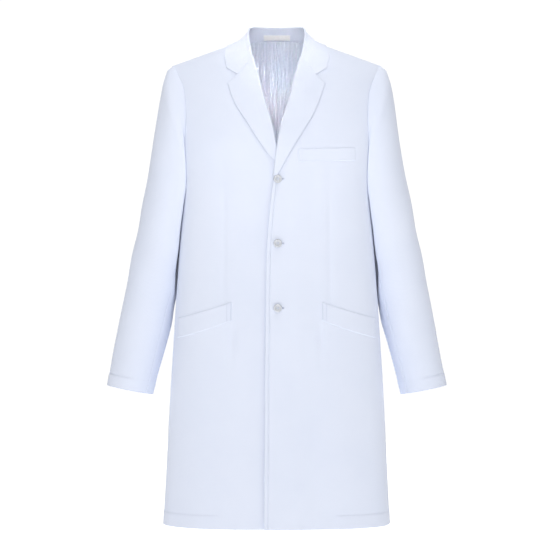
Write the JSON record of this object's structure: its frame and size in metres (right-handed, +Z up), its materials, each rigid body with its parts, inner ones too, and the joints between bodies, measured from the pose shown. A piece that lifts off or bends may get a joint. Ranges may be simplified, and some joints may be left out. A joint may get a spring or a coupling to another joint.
{
  "type": "lab coat",
  "caption": "Knee-length tailored lab coat with notched lapels, buttoned front, welt pockets and long sleeves that lift; the fronts swing open.",
  "frame": {"origin": "middle of the neck opening, level with the back neck seam, where a neck or a hanger's hook passes", "axes": "+Z up, the wearer faces -Y, the wearer's left is +X"},
  "size_m": [0.6994, 0.2516, 1.0238],
  "materials": {
    "coat": "crisp fine twill, matt, very slightly blue white",
    "lining": "light blue lining with fine upright pleats",
    "label": "blank woven satin label",
    "button": "pearly grey-white, polished",
    "thread": "twisted sewing thread"
  },
  "bodies": {
    "coat_body": {"front_left": "coat", "front_right": "coat", "back_left": "coat", "back_right": "coat", "lapel_left": "coat", "lapel_right": "coat", "collar_fall": "coat", "collar_stand": "coat", "back_lining": "lining", "neck_label": "label", "breast_welt": "coat", "breast_pocket_bag": "lining", "hip_welt_left": "coat", "hip_welt_right": "coat", "hip_pocket_bag_left": "lining", "hip_pocket_bag_right": "lining"},
    "sleeve_left": {"sleeve_top_left": "coat", "sleeve_under_left": "coat"},
    "sleeve_right": {"sleeve_top_right": "coat", "sleeve_under_right": "coat"},
    "front_left": {"front_edge_left": "coat", "facing_left": "coat"},
    "front_right": {"front_edge_right": "coat", "facing_right": "coat"},
    "button_top": {"button_top": "button", "thread_top": "thread"},
    "button_middle": {"button_middle": "button", "thread_middle": "thread"},
    "button_bottom": {"button_bottom": "button", "thread_bottom": "thread"}
  },
  "joints": [
    {"name": "sleeve_left_lift", "type": "hinge", "parent": "coat_body", "child": "sleeve_left", "pos_m": [0.2165, 0.01, -0.064], "axis": [0, -1, 0], "range_deg": [0, 60]},
    {"name": "sleeve_right_lift", "type": "hinge", "parent": "coat_body", "child": "sleeve_right", "pos_m": [-0.2165, 0.01, -0.064], "axis": [0, 1, 0], "range_deg": [0, 60]},
    {"name": "front_left_open", "type": "hinge", "parent": "coat_body", "child": "front_left", "pos_m": [0.105, -0.1, -0.272], "axis": [0, 0, 1], "range_deg": [0, 70]},
    {"name": "front_right_open", "type": "hinge", "parent": "coat_body", "child": "front_right", "pos_m": [-0.105, -0.1, -0.272], "axis": [0, 0, -1], "range_deg": [0, 28]},
    {"name": "button_top_turn", "type": "hinge", "parent": "front_right", "child": "button_top", "pos_m": [0.002, -0.11639, -0.299], "axis": [0, -1, 0], "range_deg": [-30, 30], "stiffness_Nm_per_rad": 0.0005},
    {"name": "button_middle_turn", "type": "hinge", "parent": "front_right", "child": "button_middle", "pos_m": [0.002, -0.11199, -0.427], "axis": [0, -1, 0], "range_deg": [-30, 30], "stiffness_Nm_per_rad": 0.0005},
    {"name": "button_bottom_turn", "type": "hinge", "parent": "front_right", "child": "button_bottom", "pos_m": [0.002, -0.11578, -0.556], "axis": [0, -1, 0], "range_deg": [-30, 30], "stiffness_Nm_per_rad": 0.0005}
  ],
  "couplings": [
    {"joint": "front_right_open", "follows": "front_left_open", "ratio": 0.4}
  ]
}
